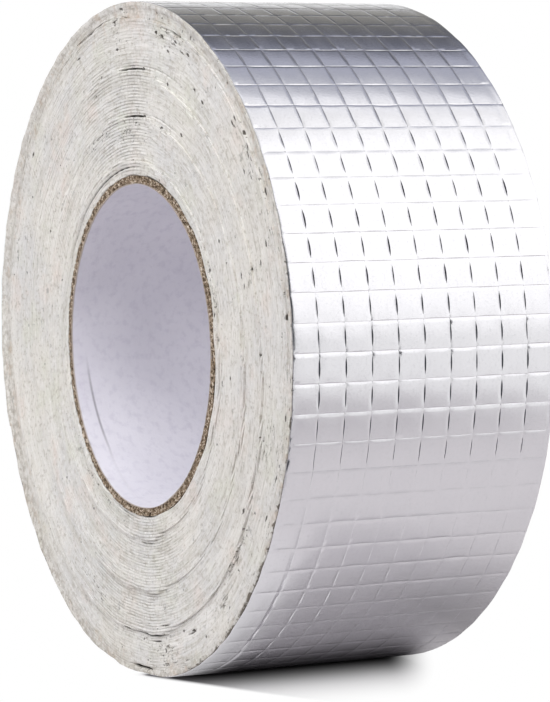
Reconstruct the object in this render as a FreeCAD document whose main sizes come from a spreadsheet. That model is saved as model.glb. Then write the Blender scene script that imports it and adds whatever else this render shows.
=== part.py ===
import FreeCAD, Part
import math
import os

import Sketcher
from FreeCAD import Placement, Vector

# A roll of butyl tape with an aluminium foil facing, standing on its tread on a small flat spot.
# Millimetres. Z is up, the roll turns about Y, and the origin is on the floor under its middle.
# The strip is wound on a chipboard core with a white paper liner, and is a little out of true:
# the core sits low and to one side of the tread, and the turns have slipped along the axis in
# three groups, so each end is stepped.

sizes = {
    "roll_diameter": 120,      # over the foil
    "tape_width": 50,
    "turn_thickness": 0.55,    # butyl and foil together, one turn
    "foil_thickness": 0.25,    # over the raised squares pressed into the foil
    "end_angle": 200,          # degrees from +X towards +Z to the strip's free end
    "flat_depth": 0.72,        # how far the flat spot cuts into the round
    "core_bore": 57.2,         # diameter inside the paper liner
    "liner_thickness": 0.15,
    "core_wall": 1.4,
    "core_drop": 0.7,          # from the tread's axis down to the core's
    "core_offset": 1.8,        # from the tread's axis across to the core's, along +X
    "inner_turns": 9.4,        # radial depth of the group of turns next to the core
    "outer_turns": 8.7,        # radial depth of the group of turns under the foil
    "group_shift": 0.15,       # how far one group has slipped past the next, along Y
}

# Lengths that follow from the sizes, as expressions.
treadRadius = "(Sizes.roll_diameter / 2)"
treadHeight = f"({treadRadius} - Sizes.flat_depth)"
linerInside = "(Sizes.core_bore / 2)"
linerOutside = f"({linerInside} + Sizes.liner_thickness)"
coreOutside = f"({linerOutside} + Sizes.core_wall)"
innerGroup = f"({coreOutside} + Sizes.inner_turns)"
outerGroup = f"({treadRadius} - Sizes.outer_turns)"

# How much of the core's offset a circle of turns still has: all of it at the core, none at the
# tread, and evenly less in between.
woundDepth = f"({treadRadius} - {coreOutside})"
innerShare = f"(1 - Sizes.inner_turns / {woundDepth})"
outerShare = f"(Sizes.outer_turns / {woundDepth})"

# How the sketcher numbers an edge's points and a sketch's own point and axes.
startPoint, endPoint, centrePoint = 1, 2, 3
floorAxis, uprightAxis = -1, -2
outOfPage = Vector(0, 0, 1)


def makeSheet(doc):
    sheet = doc.addObject("Spreadsheet::Sheet", "Sizes")
    for row, (name, value) in enumerate(sizes.items(), start=1):
        sheet.set(f"A{row}", name)
        sheet.set(f"B{row}", str(value))
        sheet.setAlias(f"B{row}", name)
    doc.recompute()


def makeBody(doc, label):
    body = doc.addObject("PartDesign::Body", label)
    body.Label = label
    body.Placement = Placement()
    return body


def makeSketch(body, name, groupSteps=0):
    """A sketch across the roll's axis, moved towards +Y by a number of group shifts."""
    plane = next(feature for feature in body.Origin.OriginFeatures if feature.Role == "XZ_Plane")
    sketch = body.newObject("Sketcher::SketchObject", name)
    sketch.AttachmentSupport = [(plane, "")]
    sketch.MapMode = "FlatFace"
    sketch.setExpression("AttachmentOffset.Base.z", f"{-groupSteps} * Sizes.group_shift")
    return sketch


def bind(sketch, name, constraint, expression):
    """Adds a named constraint whose value the sheet drives."""
    index = sketch.addConstraint(constraint)
    sketch.renameConstraint(index, name)
    sketch.setExpression(f"Constraints.{name}", expression)


def padAcrossWidth(body, sketch):
    pad = body.newObject("PartDesign::Pad", f"{sketch.Name}Pad")
    pad.Profile = sketch
    pad.SideType = "Symmetric"
    pad.setExpression("Length", "Sizes.tape_width")
    body.Document.recompute()


def addCircle(sketch, name, radius, share="1"):
    """A circle of the core or of the turns, which has a share of the core's offset."""
    circle = sketch.addGeometry(Part.Circle(Vector(0, sizes["roll_diameter"] / 2), outOfPage, 30))
    bind(sketch, f"{name}Radius", Sketcher.Constraint("Radius", circle, 30), radius)
    bind(sketch, f"{name}Across",
         Sketcher.Constraint("DistanceX", floorAxis, startPoint, circle, centrePoint, 1),
         f"Sizes.core_offset * {share}")
    bind(sketch, f"{name}Height",
         Sketcher.Constraint("DistanceY", floorAxis, startPoint, circle, centrePoint, 50),
         f"{treadHeight} - Sizes.core_drop * {share}")


def addTread(sketch, name, insetName=None):
    """The outline of the last turn, or a line set in from it by one of the sizes.

    The strip's free end leaves a step of one turn's thickness. Two half circles give that rise:
    the upper one keeps the roll's radius, and the lower one is half a turn's thickness smaller
    and meets it tangentially, opposite the step. The flat spot cuts the lower one. Returns the
    upper arc, which ends at the top of the step, and the lower arc, which starts at its foot.
    """
    inset = sizes[insetName] if insetName else 0
    insetLength = f"Sizes.{insetName}" if insetName else "0"
    endTurn = math.radians(sizes["end_angle"])
    upperRadius = sizes["roll_diameter"] / 2 - inset
    lowerRadius = upperRadius - sizes["turn_thickness"] / 2
    upperCentre = Vector(0, sizes["roll_diameter"] / 2 - sizes["flat_depth"])
    towardsEnd = Vector(math.cos(endTurn), math.sin(endTurn))
    lowerCentre = upperCentre - towardsEnd * (upperRadius - lowerRadius)
    halfFlat = math.acos((lowerCentre.y - inset) / lowerRadius)
    straightDown = math.radians(270)

    def addArc(middle, radius, fromAngle, toAngle):
        circle = Part.Circle(middle, outOfPage, radius)
        return sketch.addGeometry(Part.ArcOfCircle(circle, fromAngle, toAngle))

    def onCircle(angle):
        return lowerCentre + Vector(math.cos(angle), math.sin(angle)) * lowerRadius

    upper = addArc(upperCentre, upperRadius, endTurn - math.pi, endTurn)
    lower = addArc(lowerCentre, lowerRadius, endTurn, straightDown - halfFlat)
    front = addArc(lowerCentre, lowerRadius, straightDown + halfFlat, endTurn + math.pi)
    flat = sketch.addGeometry(Part.LineSegment(onCircle(straightDown - halfFlat),
                                               onCircle(straightDown + halfFlat)))
    guide = sketch.addGeometry(
        Part.LineSegment(upperCentre, upperCentre + towardsEnd * upperRadius), True)

    sketch.addConstraint([
        Sketcher.Constraint("PointOnObject", upper, centrePoint, uprightAxis),
        Sketcher.Constraint("Coincident", guide, startPoint, upper, centrePoint),
        Sketcher.Constraint("Coincident", guide, endPoint, upper, endPoint),
        Sketcher.Constraint("PointOnObject", upper, startPoint, guide),
        Sketcher.Constraint("PointOnObject", lower, startPoint, guide),
        Sketcher.Constraint("Coincident", lower, centrePoint, front, centrePoint),
        Sketcher.Constraint("Equal", lower, front),
        Sketcher.Constraint("Coincident", lower, endPoint, flat, startPoint),
        Sketcher.Constraint("Coincident", flat, endPoint, front, startPoint),
        Sketcher.Constraint("Horizontal", flat),
        Sketcher.Constraint("Tangent", front, endPoint, upper, startPoint),
    ])
    bind(sketch, f"{name}End", Sketcher.Constraint("Angle", guide, endTurn), "Sizes.end_angle * 1 deg")
    bind(sketch, f"{name}Upper", Sketcher.Constraint("Radius", upper, upperRadius),
         f"{treadRadius} - {insetLength}")
    bind(sketch, f"{name}Lower", Sketcher.Constraint("Radius", lower, lowerRadius),
         f"{treadRadius} - Sizes.turn_thickness / 2 - {insetLength}")
    bind(sketch, f"{name}Height",
         Sketcher.Constraint("DistanceY", floorAxis, startPoint, upper, centrePoint, upperCentre.y),
         treadHeight)
    bind(sketch, f"{name}Flat",
         Sketcher.Constraint("DistanceY", floorAxis, startPoint, flat, startPoint, inset), insetLength)
    return upper, lower


def joinPoints(sketch, oneEdge, onePoint, otherEdge, otherPoint):
    """A straight line between two points of the sketch."""
    line = sketch.addGeometry(Part.LineSegment(
        sketch.getPoint(oneEdge, onePoint), sketch.getPoint(otherEdge, otherPoint)))
    sketch.addConstraint([
        Sketcher.Constraint("Coincident", line, startPoint, oneEdge, onePoint),
        Sketcher.Constraint("Coincident", line, endPoint, otherEdge, otherPoint),
    ])


def makeWinding(doc):
    """The butyl turns as one solid, in three groups that have slipped along the axis."""
    body = makeBody(doc, "tape_winding")
    inner = makeSketch(body, "InnerTurns", groupSteps=-1)
    addCircle(inner, "Hole", coreOutside)
    addCircle(inner, "Rim", innerGroup, innerShare)
    padAcrossWidth(body, inner)

    middle = makeSketch(body, "MiddleTurns")
    addCircle(middle, "Hole", innerGroup, innerShare)
    addCircle(middle, "Rim", outerGroup, outerShare)
    padAcrossWidth(body, middle)

    outer = makeSketch(body, "OuterTurns", groupSteps=1)
    addCircle(outer, "Hole", outerGroup, outerShare)
    upper, lower = addTread(outer, "Tread", "foil_thickness")
    joinPoints(outer, upper, endPoint, lower, startPoint)
    padAcrossWidth(body, outer)
    return body


def makeFoil(doc):
    """The foil on the last turn: a ring open at the step, where its start runs under its end."""
    body = makeBody(doc, "foil_facing")
    sketch = makeSketch(body, "Foil", groupSteps=1)
    faceUpper, faceLower = addTread(sketch, "Face")
    backUpper, backLower = addTread(sketch, "Back", "foil_thickness")
    joinPoints(sketch, faceUpper, endPoint, backUpper, endPoint)
    joinPoints(sketch, faceLower, startPoint, backLower, startPoint)
    padAcrossWidth(body, sketch)
    return body


def makeRing(doc, label, inside, outside):
    """A plain tube about the core's axis, as long as the tape is wide."""
    body = makeBody(doc, label)
    sketch = makeSketch(body, f"{label}_section")
    addCircle(sketch, "Inside", inside)
    addCircle(sketch, "Outside", outside)
    padAcrossWidth(body, sketch)
    return body


def checkAndWrite(doc, bodies):
    doc.recompute()
    for item in doc.Objects:
        if "Invalid" in item.State or "Error" in item.State:
            raise RuntimeError(f"{item.Label} did not build")
    os.makedirs("parts", exist_ok=True)
    for body in bodies:
        shape = body.Shape
        if shape.isNull() or not shape.isValid() or len(shape.Solids) != 1:
            raise RuntimeError(f"{body.Label} is not one sound solid")
        box = shape.BoundBox
        print(f"{body.Label}: {shape.Volume / 1000:.2f} cm3, x {box.XMin:.2f} {box.XMax:.2f}, "
              f"y {box.YMin:.2f} {box.YMax:.2f}, z {box.ZMin:.2f} {box.ZMax:.2f}")
        shape.exportStep(f"parts/{body.Label}.step")


doc = FreeCAD.newDocument("TapeRoll")
makeSheet(doc)
checkAndWrite(doc, [
    makeWinding(doc),
    makeFoil(doc),
    makeRing(doc, "core_tube", linerOutside, coreOutside),
    makeRing(doc, "core_liner", linerInside, linerOutside),
])
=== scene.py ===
import math

import bpy
import numpy as np
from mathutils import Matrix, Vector


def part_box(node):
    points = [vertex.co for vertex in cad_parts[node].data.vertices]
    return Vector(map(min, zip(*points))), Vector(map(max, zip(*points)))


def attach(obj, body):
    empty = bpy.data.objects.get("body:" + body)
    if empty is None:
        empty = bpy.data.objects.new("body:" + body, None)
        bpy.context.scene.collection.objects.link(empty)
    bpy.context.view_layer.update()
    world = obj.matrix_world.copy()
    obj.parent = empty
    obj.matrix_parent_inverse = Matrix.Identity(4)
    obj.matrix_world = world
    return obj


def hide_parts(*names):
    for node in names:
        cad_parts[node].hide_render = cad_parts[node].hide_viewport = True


# A roll of butyl tape with an embossed aluminium facing, standing on its tread. Metres throughout,
# but for the tables that say otherwise. The roll turns about Y, and an angle is measured from +X
# towards +Z.

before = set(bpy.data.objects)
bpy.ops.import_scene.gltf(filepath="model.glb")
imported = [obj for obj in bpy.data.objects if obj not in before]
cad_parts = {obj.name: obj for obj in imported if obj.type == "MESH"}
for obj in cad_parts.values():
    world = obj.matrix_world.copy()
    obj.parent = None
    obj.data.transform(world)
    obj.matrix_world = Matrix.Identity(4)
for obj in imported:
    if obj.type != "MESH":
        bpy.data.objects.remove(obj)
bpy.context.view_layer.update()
print("frame loaded")

millimetre = 0.001
degree = math.pi / 180
fullTurn = 2 * math.pi

# What the pieces share, read from the frame where it holds it.
foilLow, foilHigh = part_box("foil_facing")
tubeLow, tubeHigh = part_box("core_tube")
linerLow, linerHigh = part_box("core_liner")
treadRadius = -foilLow.x
axisHeight = foilHigh.z - treadRadius
coreAcross = (tubeLow.x + tubeHigh.x) / 2
coreUp = (tubeLow.z + tubeHigh.z) / 2
tubeOutside = (tubeHigh.x - tubeLow.x) / 2
linerOutside = (linerHigh.x - linerLow.x) / 2
halfWidth = tubeHigh.y

roll = {
    "turns": 54,
    "turnThickness": 0.55 * millimetre,
    "foilThickness": 0.25 * millimetre,
    "linerThickness": 0.15 * millimetre,
    "endAngle": 200 * degree,  # where the strip's free end is
    "slip": 0.15 * millimetre,  # how far the last turns have slipped towards +Y
    "dents": (276, 261),  # where the floor has knocked the near rim in: degrees
    "dentSpread": 5,  # degrees
    "dentReach": 5 * millimetre,  # across the tread
    "dentDepth": 0.5 * millimetre,
}


def asDegrees(angle):
    return np.mod(angle / degree, 360)


def ease(value, low, high):
    # 0 below low, 1 above high, and smooth in between
    part = np.clip((value - low) / (high - low), 0, 1)
    return part * part * (3 - 2 * part)


def bell(value, middle, spread):
    # 1 at the middle, falling away smoothly on both sides
    return np.exp(-((value - middle) / spread) ** 2)


def ripple(across, along, length, seed):
    # smooth unevenness of about one either way, made of crossing waves
    waves = 16
    chance = np.random.default_rng(seed)
    total = 0
    for _ in range(waves):
        heading = chance.uniform(0, fullTurn)
        rate = fullTurn / (length * chance.uniform(0.7, 1.5))
        phase = chance.uniform(0, fullTurn)
        total = total + np.sin(rate * (across * math.cos(heading) + along * math.sin(heading)) + phase)
    return total / math.sqrt(waves / 2)


def treadAt(swept, inset):
    # from the roll's axis to the last turn, swept from the free end, less an inset
    half = roll["turnThickness"] / 2
    upper = treadRadius - inset
    lower = upper - half
    along = -half * np.cos(swept)
    out = np.where(swept <= math.pi, along + np.sqrt(along ** 2 - half ** 2 + lower ** 2), upper)
    down = -np.sin(swept + roll["endAngle"])
    floorAway = (axisHeight - inset) / np.maximum(down, 1e-6)
    return np.minimum(out, floorAway)


def coreAt(angle):
    # from the roll's axis to the core, whose own axis is a little low and to one side
    along = coreAcross * np.cos(angle) + (coreUp - axisHeight) * np.sin(angle)
    away = coreAcross ** 2 + (coreUp - axisHeight) ** 2
    return along + np.sqrt(along ** 2 - away + tubeOutside ** 2)


def dented(angle, y):
    # how far the near rim is knocked in
    deep = sum(bell(asDegrees(angle), place, roll["dentSpread"]) for place in roll["dents"])
    return roll["dentDepth"] * deep * bell(y, -halfWidth, roll["dentReach"])


def addSheet(name, columns, rows):
    # a flat sheet of faces with the column and row of each corner, ready to be bent
    bpy.ops.object.select_all(action="DESELECT")
    bpy.ops.mesh.primitive_grid_add(x_subdivisions=columns, y_subdivisions=rows, size=2)
    sheet = bpy.context.object
    sheet.name = name
    sheet.data.name = name
    flat = readCorners(sheet)
    column = np.rint((flat[:, 0] + 1) / 2 * columns).astype(int)
    row = np.rint((flat[:, 1] + 1) / 2 * rows).astype(int)
    return sheet, column, row


def readCorners(piece):
    corners = np.empty(len(piece.data.vertices) * 3)
    piece.data.vertices.foreach_get("co", corners)
    return corners.reshape(-1, 3)


def moveCorners(piece, x, y, z):
    piece.data.vertices.foreach_set("co", np.column_stack([x, y, z]).ravel())
    piece.data.update()


def layUv(piece, across, along):
    # the piece's own map, laid out as the unrolled sheet
    corner = np.empty(len(piece.data.loops), dtype=np.int32)
    piece.data.loops.foreach_get("vertex_index", corner)
    spread = np.column_stack([across[corner], along[corner]]).ravel()
    piece.data.uv_layers[0].uv.foreach_set("vector", spread)


def keepOnCorners(piece, name, values):
    layer = piece.data.attributes.new(name, "FLOAT", "POINT")
    layer.data.foreach_set("value", values)


def keptOnCorners(piece, name):
    values = np.empty(len(piece.data.vertices))
    piece.data.attributes[name].data.foreach_get("value", values)
    return values


def joinDoubles():
    bpy.ops.mesh.select_all(action="SELECT")
    bpy.ops.mesh.remove_doubles(threshold=0.001 * millimetre)


def closeUp(piece, fillEnds=False):
    # joins the seams, fills open ends, and turns every face outwards
    bpy.ops.object.mode_set(mode="EDIT")
    bpy.ops.mesh.select_mode(type="VERT")
    joinDoubles()
    bpy.ops.mesh.dissolve_degenerate(threshold=0.001 * millimetre)
    if fillEnds:
        bpy.ops.mesh.select_mode(type="EDGE")
        bpy.ops.mesh.select_all(action="DESELECT")
        bpy.ops.mesh.select_non_manifold(use_wire=False, use_multi_face=False,
                                         use_non_contiguous=False, use_verts=False)
        bpy.ops.mesh.fill_holes(sides=0)
    bpy.ops.mesh.select_all(action="SELECT")
    bpy.ops.mesh.normals_make_consistent(inside=False)
    bpy.ops.mesh.select_all(action="DESELECT")
    bpy.ops.object.mode_set(mode="OBJECT")


def finishPiece(piece, node, material, sharpFrom):
    bpy.ops.object.shade_smooth_by_angle(angle=sharpFrom * degree)
    piece.data.materials.clear()
    piece.data.materials.append(material)
    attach(piece, "root")
    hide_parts(node)
    triangles = sum(len(face.vertices) - 2 for face in piece.data.polygons)
    print(f"{piece.name}: {triangles} triangles")


class Amount:
    # a socket that can be added, multiplied and so on, each with its own node
    def __init__(self, recipe, socket):
        self.recipe = recipe
        self.socket = socket

    def __add__(self, other):
        return self.recipe.maths("ADD", self, other)

    def __sub__(self, other):
        return self.recipe.maths("SUBTRACT", self, other)

    def __rsub__(self, other):
        return self.recipe.maths("SUBTRACT", other, self)

    def __mul__(self, other):
        return self.recipe.maths("MULTIPLY", self, other)

    def __truediv__(self, other):
        return self.recipe.maths("DIVIDE", self, other)

    def __pow__(self, other):
        return self.recipe.maths("POWER", self, other)

    def __abs__(self):
        return self.recipe.maths("ABSOLUTE", self)

    __radd__ = __add__
    __rmul__ = __mul__


class Recipe:
    # one material, or the world, and the nodes it is made of
    def __init__(self, owner):
        owner.use_nodes = True
        self.tree = owner.node_tree
        self.tree.nodes.clear()

    def node(self, kind, settings=None, inputs=None, output=0):
        made = self.tree.nodes.new(kind)
        for name, value in (settings or {}).items():
            if name == "stops":
                self.setStops(made.color_ramp, value)
            else:
                setattr(made, name, value)
        for name, value in (inputs or {}).items():
            if isinstance(value, Amount):
                self.tree.links.new(value.socket, made.inputs[name])
            else:
                made.inputs[name].default_value = value
        return Amount(self, made.outputs[output]) if len(made.outputs) else None

    def setStops(self, ramp, stops):
        while len(ramp.elements) < len(stops):
            ramp.elements.new(1)
        for element, (place, tone) in zip(ramp.elements, stops):
            element.position = place
            element.color = (*tone, 1)

    def maths(self, operation, *values):
        return self.node("ShaderNodeMath", {"operation": operation}, dict(enumerate(values)))

    def larger(self, first, second):
        return self.maths("MAXIMUM", first, second)

    def vector(self, operation, *values, output=0):
        return self.node("ShaderNodeVectorMath", {"operation": operation}, dict(enumerate(values)), output)

    def between(self, value, low, high):
        # 0 below low, 1 above high, and smooth in between
        return self.node("ShaderNodeMapRange", {"interpolation_type": "SMOOTHSTEP"},
                         {"Value": value, "From Min": low, "From Max": high})

    def noise(self, at, scale, detail, roughness, output=0):
        # the scale is in waves to the metre
        return self.node("ShaderNodeTexNoise", {},
                         {"Vector": at, "Scale": scale, "Detail": detail, "Roughness": roughness}, output)

    def blend(self, share, first, second):
        # one colour into another
        return self.node("ShaderNodeMix", {"data_type": "RGBA"}, {"Factor": share, 6: first, 7: second}, 2)

    def layered(self, paint, *layers):
        # colours laid over the paint one after another, each by its own share
        for share, tone in layers:
            paint = self.blend(share, paint, colour(*tone))
        return paint

    def place(self, output="Object"):
        return self.node("ShaderNodeTexCoord", output=output)

    def kept(self, name):
        # a value kept on the corners of the mesh
        return self.node("ShaderNodeAttribute", {"attribute_name": name}, output=2)

    def parts(self, vector):
        return [self.node("ShaderNodeSeparateXYZ", {}, {0: vector}, output) for output in range(3)]

    def join(self, x, y, z):
        return self.node("ShaderNodeCombineXYZ", {}, {0: x, 1: y, 2: z})

    def bump(self, height, strength, distance):
        inputs = {"Height": height, "Strength": strength, "Distance": distance}
        return self.node("ShaderNodeBump", {}, inputs)

    def surface(self, **sockets):
        # the shader itself: underscores stand for the spaces in its sockets' names
        inputs = {name.replace("_", " "): value for name, value in sockets.items()}
        shader = self.node("ShaderNodeBsdfPrincipled", {}, inputs)
        self.node("ShaderNodeOutputMaterial", {}, {"Surface": shader})


def colour(red, green, blue):
    # a screen colour, 0 to 255, as the shader needs it
    parts = [channel / 255 for channel in (red, green, blue)]
    return (*(p / 12.92 if p <= 0.04045 else ((p + 0.055) / 1.055) ** 2.4 for p in parts), 1)


camera = {
    "place": (0.52611, -0.27256, axisHeight + 0.04771),
    "down": 4.8626,  # degrees below the horizon
    "turned": 62.3308,  # degrees from looking along +Y, towards -X
    "lens": 168.76,
    "sensor": 36,
    "nearest": 0.01,  # that it can see
}


def addCamera():
    data = bpy.data.cameras.new("camera")
    data.lens = camera["lens"]
    data.sensor_width = camera["sensor"]
    data.clip_start = camera["nearest"]
    eye = bpy.data.objects.new("camera", data)
    eye.location = camera["place"]
    eye.rotation_euler = ((90 - camera["down"]) * degree, 0, camera["turned"] * degree)
    bpy.context.scene.collection.objects.link(eye)
    bpy.context.scene.camera = eye


middle = (0, 0, axisHeight)
softboxShine = 1.36  # radiance of the box the facing shows
plainDark = ((0.0, 0.045, 1), (1.0, 0.045, 1))

studio = {
    "ambient": 0.49,
    # lamps, which all face the roll: centre, width, height and radiance
    "lamps": {
        "softbox": ((0.66, 0.49, 0.70), 0.8, 1.0, softboxShine),
        "fill": ((0.20, -0.86, 0.78), 1.0, 0.9, 2.2),
        "kicker": ((0.39, -0.25, 1.05), 0.5, 0.5, 6.7),  # it grazes the end of the roll from above
    },
    # cards, which only show in gloss: centre, what they face, width, height, which of the two their
    # stops run along, and the stops, each its place, radiance and how blue it is
    "cards": {
        "softboxCard": ((0.66, 0.49, 0.62), middle, 0.8, 1.16, "Y", (
            (0.0, 1.18, 0), (0.10, 1.28, 0), (0.28, softboxShine, 0), (0.90, softboxShine, 0),
            (0.96, 1.25, 0), (1.0, 1.1, 0))),
        "overheadCard": ((-1.15, 1.17, 0.95), (-1.15, 1.17, 0), 2.5, 2.2, "X", (
            (0.0, 0.60, 0), (0.20, 0.45, 0), (0.42, 0.31, -0.5), (0.55, 0.235, -0.3), (0.684, 0.14, 0.5),
            (0.781, 0.15, 1.2), (0.852, 0.58, 0.9), (0.903, 0.48, 0.7), (0.951, 0.71, 0.4),
            (1.0, 1.45, 0.1))),
        "cameraSideCard": ((0.73, -0.45, 0.75), (0, 0, 0.75), 2.0, 1.5, "X", plainDark),
        "highSideCard": ((-0.20, -0.36, 1.0), (-0.20, -0.36, 0), 2.0, 0.88, "X", (
            (0.0, 0.3, 0.5), (0.28, 0.12, 0.5), (0.46, 0.28, 0.5), (0.60, 0.40, 0.5), (0.66, 0.25, 0.5),
            (0.74, 0.10, 1), (1.0, 0.045, 1))),
        "lowCard": ((0.53, -0.355, 0.002), (0.53, -0.355, 1), 0.86, 0.69, "X", plainDark),
    },
    "floorSize": 8,
    # painted shade on the floor: a painted contact shadow where the roll rests, then lighter and darker
    # paint outwards, mirrored in the facing: metres over which a paint begins, and the paint
    "paintedContactShadow": (120, 117, 120),
    "paintedShadeOutwards": (
        ((0.012, 0.028), (228, 225, 228)), ((0.028, 0.046), (189, 186, 189)),
        ((0.055, 0.10), (206, 203, 205)),
    ),
    # painted shade on the floor on the foil's side, 20 to 40 cm off, which the facing mirrors
    "paintedFarShade": (182, 179, 182),
    "farBegins": (0.09, 0.19),
    "farEnds": (0.40, 0.60),
    # metres over which the floor turns plain white, to the camera and in the facing
    "nearWhite": (0.008, 0.044),
    "farWhite": (0.40, 1.08),
    # the floor in front of the roll: how white the facing shows it, and where that begins and ends
    "frontWhite": 0.55,
    "frontBegins": (-0.007, 0.006),
    "frontEnds": (0.03, 0.09),
    "frontSlant": 0.33,  # how its edge runs back along X
    # the shadow: where it begins along X, how its edges draw in along X, and how many times faster
    # it ends to the left, in front and behind than to the right
    "shadowBegins": 0.0045,
    "shadowSlant": 0.45,
    "leftFall": 12,
    "frontFall": 14,
    "backFall": 4,
    "paintFall": 2,  # the same behind, for the paint
}


def aim(thing, centre, target):
    thing.location = centre
    towards = Vector(target) - Vector(centre)
    thing.rotation_mode = "QUATERNION"
    thing.rotation_quaternion = towards.to_track_quat("-Z", "Y")


def addLamp(name, centre, width, height, shine):
    lamp = bpy.data.lights.new(name, "AREA")
    lamp.shape = "RECTANGLE"
    lamp.size = width
    lamp.size_y = height
    lamp.energy = shine * math.pi * width * height
    lampObject = bpy.data.objects.new(name, lamp)
    aim(lampObject, centre, middle)
    lampObject.visible_glossy = False  # the cards show there instead
    lampObject.visible_camera = False
    bpy.context.scene.collection.objects.link(lampObject)


def addCard(name, centre, target, width, height, along, stops):
    bpy.ops.object.select_all(action="DESELECT")
    bpy.ops.mesh.primitive_plane_add(size=1)
    card = bpy.context.object
    card.name = name
    card.scale = (width, height, 1)
    aim(card, centre, target)
    card.visible_camera = False
    card.visible_diffuse = False
    card.visible_shadow = False
    material = bpy.data.materials.new(name)
    recipe = Recipe(material)
    share = recipe.parts(recipe.place())["XY".index(along)] + 0.5
    # a ramp holds no more than 1, so it has half the shine and the strength makes up for it
    halves = [(place, tuple(shine * (0.5 + tint * blue) for tint in (-0.05, -0.03, 0.07)))
              for place, shine, blue in stops]
    ramp = recipe.node("ShaderNodeValToRGB", {"stops": halves}, {"Fac": share})
    glow = recipe.node("ShaderNodeEmission", {}, {"Color": ramp, "Strength": 2.0})
    recipe.node("ShaderNodeOutputMaterial", {}, {"Surface": glow})
    card.data.materials.append(material)


def makeFloorPaint():
    material = bpy.data.materials.new("floor")
    recipe = Recipe(material)
    between = recipe.between
    cameraRay = recipe.node("ShaderNodeLightPath", output="Is Camera Ray")
    glossRay = (recipe.node("ShaderNodeLightPath", output="Is Glossy Ray")
                + recipe.node("ShaderNodeLightPath", output="Is Transmission Ray"))
    x, y = recipe.parts(recipe.place())[:2]
    # the shadow lies to the right of the contact and behind it
    aside = recipe.larger(x, (x - studio["shadowBegins"]) * -studio["leftFall"])
    under = halfWidth - recipe.larger(x, 0) * studio["shadowSlant"]
    before = recipe.larger((0 - y - under) * studio["frontFall"], 0)

    def fromContact(backFall):
        beyond = recipe.larger((y - under) * backFall, before)
        return recipe.vector("LENGTH", recipe.join(aside, beyond, 0), output="Value")

    away = fromContact(studio["backFall"])
    # the floor in front is as white in the facing as it is to the camera, but only near the roll
    front = 0 - y - halfWidth + recipe.larger(x, 0) * studio["frontSlant"]
    nearRoll = 1 - between(x, *studio["frontEnds"])
    front = between(front, *studio["frontBegins"]) * nearRoll * studio["frontWhite"]
    mirrored = recipe.larger(between(away, *studio["farWhite"]), front)
    white = between(away, *studio["nearWhite"]) * cameraRay + mirrored * glossRay
    away = fromContact(studio["paintFall"])
    outwards = [(between(away, *zone), tone) for zone, tone in studio["paintedShadeOutwards"]]
    farShadeShare = between(x, *studio["farBegins"]) * (1 - between(x, *studio["farEnds"]))
    paint = recipe.layered(colour(*studio["paintedContactShadow"]), *outwards, (farShadeShare, studio["paintedFarShade"]))
    matt = recipe.node("ShaderNodeBsdfDiffuse", {}, {"Color": paint})
    glow = recipe.node("ShaderNodeEmission", {}, {"Color": (1, 1, 1, 1), "Strength": 1.0})
    shown = recipe.node("ShaderNodeMixShader", {}, {0: white, 1: matt, 2: glow})
    recipe.node("ShaderNodeOutputMaterial", {}, {"Surface": shown})
    return material


def addFloor():
    bpy.ops.object.select_all(action="DESELECT")
    bpy.ops.mesh.primitive_plane_add(size=studio["floorSize"])
    floor = bpy.context.object
    floor.name = "floor"
    floor.data.materials.append(makeFloorPaint())


def lightWorld():
    # plain white to the camera and to gloss, and a soft light from all sides to the rest
    world = bpy.data.worlds.new("world")
    bpy.context.scene.world = world
    recipe = Recipe(world)
    path = [recipe.node("ShaderNodeLightPath", output=name)
            for name in ("Is Camera Ray", "Is Glossy Ray", "Is Transmission Ray")]
    looked = recipe.maths("MINIMUM", path[0] + path[1] + path[2], 1)
    strength = looked * (1 - studio["ambient"]) + studio["ambient"]
    sky = recipe.node("ShaderNodeBackground", {}, {"Color": (1, 1, 1, 1), "Strength": strength})
    recipe.node("ShaderNodeOutputWorld", {}, {"Surface": sky})


addCamera()
for name, form in studio["lamps"].items():
    addLamp(name, *form)
for name, form in studio["cards"].items():
    addCard(name, *form)
addFloor()
lightWorld()
bpy.context.scene.view_settings.view_transform = "Standard"
print("camera, floor and light set")

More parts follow.
